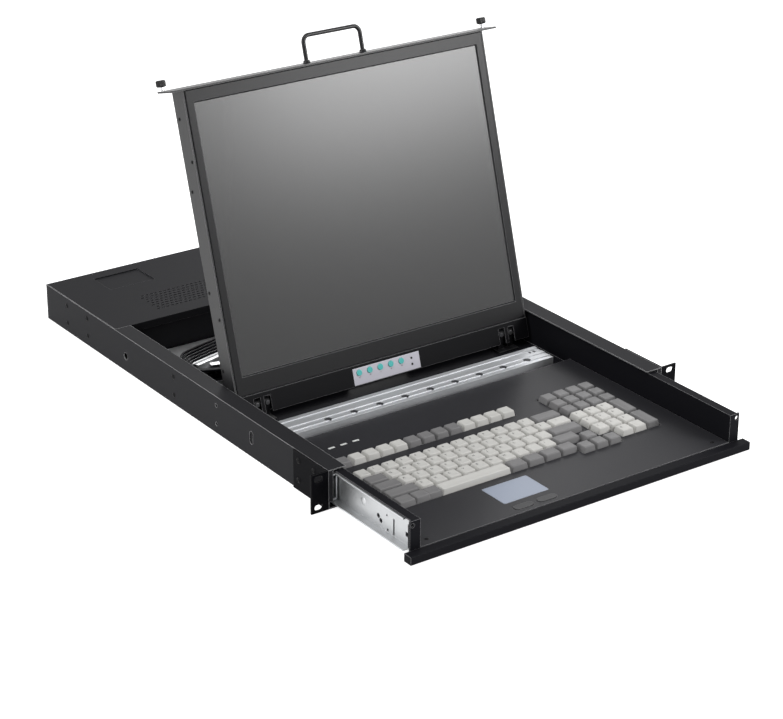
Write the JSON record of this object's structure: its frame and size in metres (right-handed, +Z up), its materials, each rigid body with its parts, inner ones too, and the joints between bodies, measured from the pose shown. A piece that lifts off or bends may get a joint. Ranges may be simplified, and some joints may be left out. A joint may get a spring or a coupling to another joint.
{
  "type": "rackmount lcd console drawer",
  "caption": "One-unit rack drawer with a fold-up screen, keyboard, touchpad, telescopic slides, cable arm and a rear panel of video sockets",
  "frame": {"origin": "centre of the rack hole pattern, on the front face of the ears", "axes": "+X right seen from the front, +Y towards the back of the rack, +Z up"},
  "size_m": [0.4826, 0.7486, 0.3878],
  "materials": {
    "chassis_coat": "fine black powder coat",
    "zinc": "bright zinc plating",
    "bar": "clear anodised",
    "nickel": "nickel plating",
    "screw_steel": "plain steel",
    "key_light": "fine grain",
    "key_dark": "fine grain",
    "pad": "satin",
    "pad_button": "satin",
    "base_plate": "matt black",
    "lens": "clear lens",
    "bezel": "satin paint",
    "panel_glass": "glossy screen face",
    "label": "printed film",
    "teal": "domed keys",
    "knob": "knurled",
    "handle_metal": "plated rod",
    "cable": "cable sheath",
    "board": "solder mask",
    "vga_blue": "moulded",
    "din_purple": "moulded",
    "din_green": "moulded",
    "inlet_black": "moulded",
    "black_screw": "black oxide"
  },
  "bodies": {
    "chassis": {"chassis_pan": "chassis_coat", "rear_deck": "chassis_coat", "bay_front_wall": "chassis_coat", "arm_support_plate": "zinc", "rear_panel": "chassis_coat", "rack_ear_left": "chassis_coat", "rack_ear_right": "chassis_coat", "chassis_screws": "black_screw", "slide_chassis_members": "zinc", "bay_board": "board", "port_metalwork": "nickel", "vga_inserts": "vga_blue", "keyboard_port": "din_purple", "mouse_port": "din_green", "power_inlet": "inlet_black"},
    "slide_middles": {"slide_middle_left": "zinc", "slide_middle_right": "zinc"},
    "drawer": {"slide_drawer_members": "zinc", "tray_pan": "chassis_coat", "front_lip": "chassis_coat", "keyboard_cover": "chassis_coat", "keyboard_base": "base_plate", "status_lights": "lens", "cover_screws": "screw_steel", "touchpad": "pad", "cross_bar": "bar", "hinge_brackets": "base_plate", "hinge_pins": "screw_steel"},
    "pad_button_left": {"touchpad_button_left": "pad_button"},
    "pad_button_right": {"touchpad_button_right": "pad_button"},
    "function_keys": {"keys_function_dark": "key_dark", "keys_function_light": "key_light"},
    "number_keys": {"keys_number_row": "key_light"},
    "upper_keys": {"keys_upper_row": "key_light"},
    "home_keys": {"keys_home_row": "key_light"},
    "lower_keys": {"keys_lower_row": "key_light"},
    "modifier_keys": {"keys_modifiers": "key_dark"},
    "bottom_keys": {"keys_bottom_row": "key_dark"},
    "space_key": {"space_bar": "key_light"},
    "arrow_keys": {"keys_arrows": "key_dark"},
    "navigation_keys": {"keys_navigation": "key_dark"},
    "numpad_keys": {"keys_numpad": "key_light"},
    "screen": {"lcd_housing": "bezel", "lcd_bezel": "bezel", "lcd_screen": "panel_glass", "osd_plate": "chassis_coat", "osd_label": "label", "osd_lights": "lens", "hinge_leaves": "base_plate", "lcd_side_screws": "screw_steel", "front_panel": "chassis_coat", "handle": "handle_metal"},
    "osd_keys": {"osd_buttons": "teal"},
    "thumbscrew_left": {"thumbscrew_left": "knob"},
    "thumbscrew_right": {"thumbscrew_right": "knob"},
    "arm_rear": {"arm_rear_link": "zinc", "rear_link_cables": "cable"},
    "arm_front": {"arm_front_link": "zinc", "front_link_cables": "cable"},
    "rocker": {"rocker_switch": "inlet_black"}
  },
  "joints": [
    {"name": "drawer_slide", "type": "slide", "parent": "chassis", "child": "drawer", "axis": [0, 1, 0], "range_m": [0, 0.131]},
    {"name": "slide_middle_travel", "type": "slide", "parent": "chassis", "child": "slide_middles", "axis": [0, 1, 0], "range_m": [0, 0.0656]},
    {"name": "screen_hinge", "type": "hinge", "parent": "drawer", "child": "screen", "pos_m": [0, 0.213, 0.00144], "axis": [1, 0, 0], "range_deg": [0, 106.3]},
    {"name": "thumbscrew_left_turn", "type": "hinge", "parent": "screen", "child": "thumbscrew_left", "pos_m": [-0.211, 0.32352, 0.33378], "axis": [0, 0.2807, 0.9598], "continuous": true},
    {"name": "thumbscrew_right_turn", "type": "hinge", "parent": "screen", "child": "thumbscrew_right", "pos_m": [0.211, 0.32352, 0.33378], "axis": [0, 0.2807, 0.9598], "continuous": true},
    {"name": "osd_keys_press", "type": "slide", "parent": "screen", "child": "osd_keys", "axis": [0, 0.9598, -0.2807], "range_m": [0, 0.0006], "stiffness_N_per_m": 900, "springref_m": -0.001},
    {"name": "function_keys_press", "type": "slide", "parent": "drawer", "child": "function_keys", "axis": [0, 0, -1], "range_m": [0, 0.0025], "stiffness_N_per_m": 400, "springref_m": -0.003},
    {"name": "number_keys_press", "type": "slide", "parent": "drawer", "child": "number_keys", "axis": [0, 0, -1], "range_m": [0, 0.0025], "stiffness_N_per_m": 400, "springref_m": -0.003},
    {"name": "upper_keys_press", "type": "slide", "parent": "drawer", "child": "upper_keys", "axis": [0, 0, -1], "range_m": [0, 0.0025], "stiffness_N_per_m": 400, "springref_m": -0.003},
    {"name": "home_keys_press", "type": "slide", "parent": "drawer", "child": "home_keys", "axis": [0, 0, -1], "range_m": [0, 0.0025], "stiffness_N_per_m": 400, "springref_m": -0.003},
    {"name": "lower_keys_press", "type": "slide", "parent": "drawer", "child": "lower_keys", "axis": [0, 0, -1], "range_m": [0, 0.0025], "stiffness_N_per_m": 400, "springref_m": -0.003},
    {"name": "modifier_keys_press", "type": "slide", "parent": "drawer", "child": "modifier_keys", "axis": [0, 0, -1], "range_m": [0, 0.0025], "stiffness_N_per_m": 400, "springref_m": -0.003},
    {"name": "bottom_keys_press", "type": "slide", "parent": "drawer", "child": "bottom_keys", "axis": [0, 0, -1], "range_m": [0, 0.0025], "stiffness_N_per_m": 400, "springref_m": -0.003},
    {"name": "space_key_press", "type": "slide", "parent": "drawer", "child": "space_key", "axis": [0, 0, -1], "range_m": [0, 0.0025], "stiffness_N_per_m": 400, "springref_m": -0.003},
    {"name": "arrow_keys_press", "type": "slide", "parent": "drawer", "child": "arrow_keys", "axis": [0, 0, -1], "range_m": [0, 0.0025], "stiffness_N_per_m": 400, "springref_m": -0.003},
    {"name": "navigation_keys_press", "type": "slide", "parent": "drawer", "child": "navigation_keys", "axis": [0, 0, -1], "range_m": [0, 0.0025], "stiffness_N_per_m": 400, "springref_m": -0.003},
    {"name": "numpad_keys_press", "type": "slide", "parent": "drawer", "child": "numpad_keys", "axis": [0, 0, -1], "range_m": [0, 0.0025], "stiffness_N_per_m": 400, "springref_m": -0.003},
    {"name": "pad_button_left_press", "type": "slide", "parent": "drawer", "child": "pad_button_left", "axis": [0, 0, -1], "range_m": [0, 0.0008], "stiffness_N_per_m": 700, "springref_m": -0.001},
    {"name": "pad_button_right_press", "type": "slide", "parent": "drawer", "child": "pad_button_right", "axis": [0, 0, -1], "range_m": [0, 0.0008], "stiffness_N_per_m": 700, "springref_m": -0.001},
    {"name": "arm_rear_pivot", "type": "hinge", "parent": "chassis", "child": "arm_rear", "pos_m": [0.1289, 0.404, -0.0138], "axis": [0, 0, 1], "range_deg": [-12.3, 0]},
    {"name": "arm_elbow", "type": "hinge", "parent": "arm_rear", "child": "arm_front", "pos_m": [-0.17195, 0.32925, -0.0138], "axis": [0, 0, 1], "range_deg": [0, 24.6]},
    {"name": "rocker_pivot", "type": "hinge", "parent": "chassis", "child": "rocker", "pos_m": [0.1731, 0.5965, 0.0005], "axis": [1, 0, 0], "range_deg": [-18, 0]}
  ],
  "couplings": [
    {"joint": "slide_middle_travel", "follows": "drawer_slide", "ratio": 0.5},
    {"joint": "arm_rear_pivot", "follows": "drawer_slide", "rad_per_m": -1.6312},
    {"joint": "arm_elbow", "follows": "drawer_slide", "rad_per_m": 3.2624}
  ]
}
